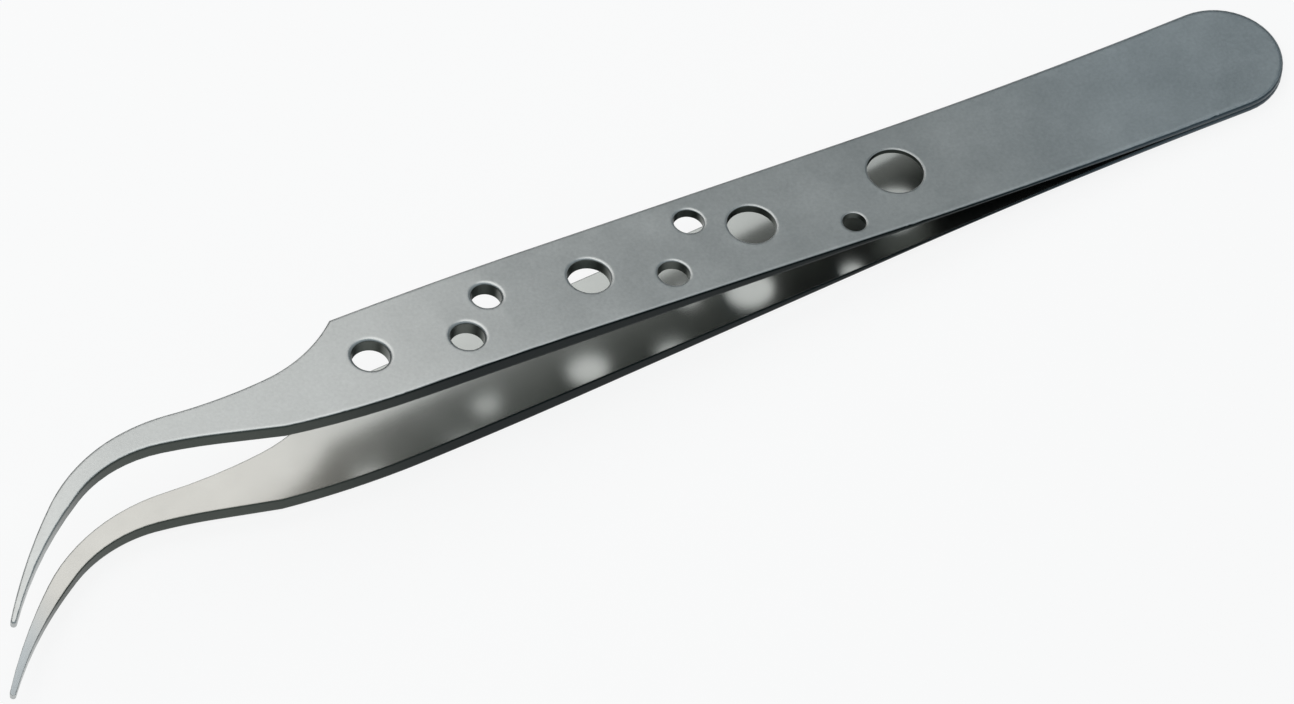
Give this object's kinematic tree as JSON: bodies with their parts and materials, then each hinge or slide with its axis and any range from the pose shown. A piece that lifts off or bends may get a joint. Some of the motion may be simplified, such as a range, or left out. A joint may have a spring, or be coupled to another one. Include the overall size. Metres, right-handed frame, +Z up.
{
  "type": "curved fine-point tweezers",
  "caption": "Curved fine-point tweezers: two flat spring arms welded face to face at the rear, round holes through the upper arm, ground to fine points that curve to one side.",
  "frame": {"origin": "on the floor the tweezers rest on, under the middle of their bounding box", "axes": "+X towards the welded rear end, -X towards the points, -Y the side the points curve to, +Z up, with the perforated arm on top"},
  "size_m": [0.118, 0.016, 0.0122],
  "materials": {
    "arm_steel": "satin"
  },
  "bodies": {
    "root": {"upper_arm": "arm_steel", "lower_arm": "arm_steel"}
  },
  "joints": []
}
